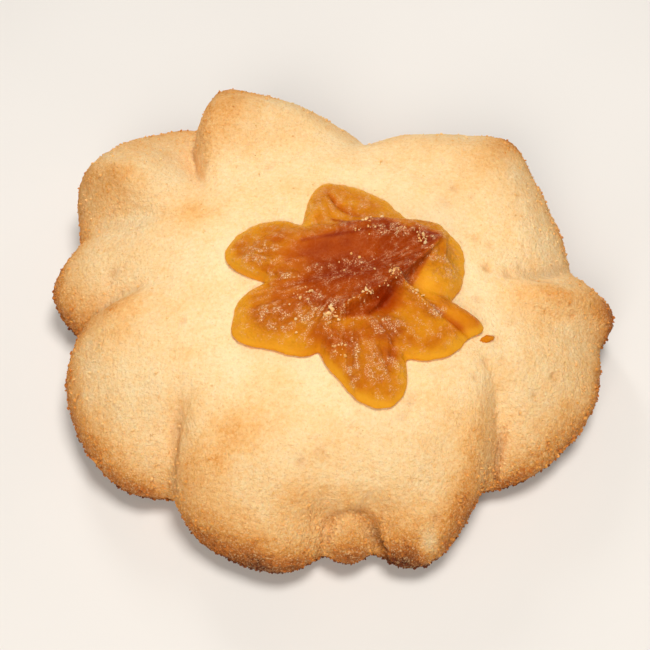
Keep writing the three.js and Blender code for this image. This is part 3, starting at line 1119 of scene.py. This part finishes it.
def lay_grains(name, spots, sizes, values, seed):
    """One mesh of grains: each spot is a place and a way out of the surface, in mm."""
    dice = random.Random(seed)
    points, faces, shades = [], [], []
    for (place, way), size, value in zip(spots, sizes, values):
        tumble = Matrix.Rotation(dice.uniform(0, 6.28), 3, "X")
        turn = tumble @ Matrix.Rotation(dice.uniform(0, 6.28), 3, "Z")
        stretch = np.array([dice.uniform(0.6, 1.3) for _ in range(3)])
        body = (grain_shape * stretch) @ np.array(turn).T * size / 2
        faces.append(grain_faces + len(points) * len(grain_shape))
        points.append(body + place + way * size * 0.12)
        shades.append(np.full(len(grain_shape), value))
    mesh = bpy.data.meshes.new(name)
    mesh.from_pydata((np.vstack(points) * MM).tolist(), [], np.vstack(faces).tolist())
    obj = link_mesh(name, mesh)
    set_value(obj, "browning", np.concatenate(shades))
    print(name + ":", len(spots), "grains")
    return obj


def choose(weights, count, seed):
    odds = weights / weights.sum()
    return np.random.default_rng(seed).choice(len(weights), count, replace=False, p=odds)


# %% Crumbs on the dough
CRUMB_COUNT = 8000
STAR_ROOM = 13
skin = points_of(dough)
ways = normals_of(dough)
tone = np.empty(len(skin), dtype=np.float32)
dough.data.attributes["browning"].data.foreach_get("value", tone)
height = skin[:, 2]
far = np.hypot(skin[:, 0] - FOOT_MIDDLE[0], skin[:, 1] - FOOT_MIDDLE[1])
from_star = np.hypot(skin[:, 0] - JAM_MIDDLE[0], skin[:, 1] - JAM_MIDDLE[1])
patchy = ease(grain(skin, 4.0, 8), -0.2, 0.5)
wall = ease(-height, -9, -2) * (height > 0.5)
weights = 0.02 + 0.6 * wall * (0.25 + patchy) + 0.10 * ease(far, 20, 28)
weights = weights * (height > 0.4) * (from_star >= STAR_ROOM)
chosen = choose(weights, CRUMB_COUNT, 3)
sizes = 0.11 + 0.26 * np.random.default_rng(4).random(CRUMB_COUNT) ** 3 + 0.07 * wall[chosen]
shades = tone[chosen] + np.random.default_rng(5).uniform(-0.05, 0.13, CRUMB_COUNT)
crumbs = lay_grains("crumbs", [(skin[i], ways[i]) for i in chosen], sizes, np.clip(shades, 0, 1), 6)
crumbs.data.materials.append(baked_dough)
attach(crumbs, "root")

# %% [markdown]
# ## Crumbs on the jam
# Crumbs that fell on the jam stay where it was sticky: in small groups on the arms and in rows
# along the sharp folds. Each is dropped from above and kept where it lands.

# %% Crumbs on the jam
GROUPS = [
    ((-2.0, -5.0), 1.0, 22), ((-4.4, -1.6), 1.3, 12), ((-5.8, -5.2), 1.5, 8), ((2.0, -2.4), 0.9, 10),
    ((4.6, -0.4), 0.6, 10), ((2.4, 6.4), 1.4, 14), ((7.4, 4.0), 0.8, 14), ((6.8, -2.4), 0.7, 6),
    ((-1.0, -8.0), 1.0, 8), ((1.0, 1.5), 2.5, 8),
]
ROWS = [(FOLDS[2][0], 34), (FOLDS[3][0], 24), (FOLDS[4][0], 14), (FOLDS[0][0][2:], 22)]
ROW_SPREAD = 0.16
LARGEST_CRUMB = 0.75
jam_tree = tree_of(jam)
dice = random.Random(21)
spots, sizes = [], []


def drop_crumb(x, y, least, more, power):
    """A crumb let fall on the jam. Its size is only drawn where it lands."""
    start = Vector(((JAM_MIDDLE[0] + x) * MM, (JAM_MIDDLE[1] + y) * MM, DROP_FROM))
    hit, way, _, _ = jam_tree.ray_cast(start, Vector((0, 0, -1)))
    if hit is not None:
        spots.append((np.array(hit) / MM, np.array(way)))
        sizes.append(least + more * dice.random() ** power)


for (x, y), wide, count in GROUPS:
    for _ in range(count):
        drop_crumb(dice.gauss(x, wide / 2), dice.gauss(y, wide / 2), 0.16, 0.28, 2)
sizes[0] = LARGEST_CRUMB
for path, count in ROWS:
    for _ in range(count):
        place = dice.random() * (len(path) - 1)
        a, b = path[int(place)], path[int(place) + 1]
        x, y = [a[i] + (b[i] - a[i]) * (place % 1) + dice.gauss(0, ROW_SPREAD) for i in (0, 1)]
        drop_crumb(x, y, 0.10, 0.12, 1)
shades = [dice.uniform(0.16, 0.42) for _ in spots]
jam_crumbs = lay_grains("jam_crumbs", spots, sizes, shades, 9)
jam_crumbs.data.materials.append(baked_dough)
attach(jam_crumbs, "root")

# %% [markdown]
# ## A loose scrap of jam
# A crumb of jam tore off as the nozzle was drawn away and lies beside the right arm. It is a small
# ball, flattened and drawn out, with a little noise on it, half sunk in the dough.

# %% Loose scrap of jam
SCRAP = (15.6, -9.1)
SCRAP_RADIUS = 0.58
SCRAP_TURN = math.radians(18)
bpy.ops.object.select_all(action="DESELECT")
bpy.ops.mesh.primitive_ico_sphere_add(subdivisions=4, radius=SCRAP_RADIUS * MM)
scrap = bpy.context.object
scrap.name = "jam_scrap"
bpy.ops.object.mode_set(mode="EDIT")
bpy.ops.mesh.select_all(action="SELECT")
bpy.ops.transform.resize(value=(1.5, 0.65, 0.5))
bpy.ops.object.mode_set(mode="OBJECT")
scrap.rotation_euler = (0, 0, SCRAP_TURN)
scrap.location = Vector((*SCRAP, float(drop_on(dough_tree, [SCRAP])[0]))) * MM
bpy.ops.object.transform_apply(location=True, rotation=True, scale=True)
rough_up(scrap, "scrap", "CLOUDS", 0.5 * MM, 0.4 * MM)
bpy.ops.object.shade_smooth()
for name, value in (("depth", 0.3), ("wrinkled", 0.4)):
    set_value(scrap, name, np.full(len(scrap.data.vertices), value))
print("scrap:", len(scrap.data.polygons), "faces")
scrap.data.materials.append(fruit_jam)
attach(scrap, "root")

# %% [markdown]
# ## Floor
# A plain pale floor shows the true colour of the crust and catches a soft shadow. It lies a hair
# under the foot, so the two never share a plane.

# %% Floor
FLOOR_DROP = 0.02


def floor_material():
    bench = Nodes("pale_floor")
    colour = bench.ramp(bench.noise(0.02, 2), [(0.3, (226, 223, 218)), (0.7, (231, 228, 223))])
    bench.join(colour, bench.shader.inputs["Base Color"])
    bench.shader.inputs["Roughness"].default_value = 0.9
    return bench.material


bpy.ops.object.select_all(action="DESELECT")
bpy.ops.mesh.primitive_plane_add(size=4, location=(0, 0, -FLOOR_DROP * MM))
floor = bpy.context.object
floor.name = "floor"
bpy.ops.object.transform_apply(location=True)
floor.data.materials.append(floor_material())
print("floor below the foot by mm:", FLOOR_DROP)
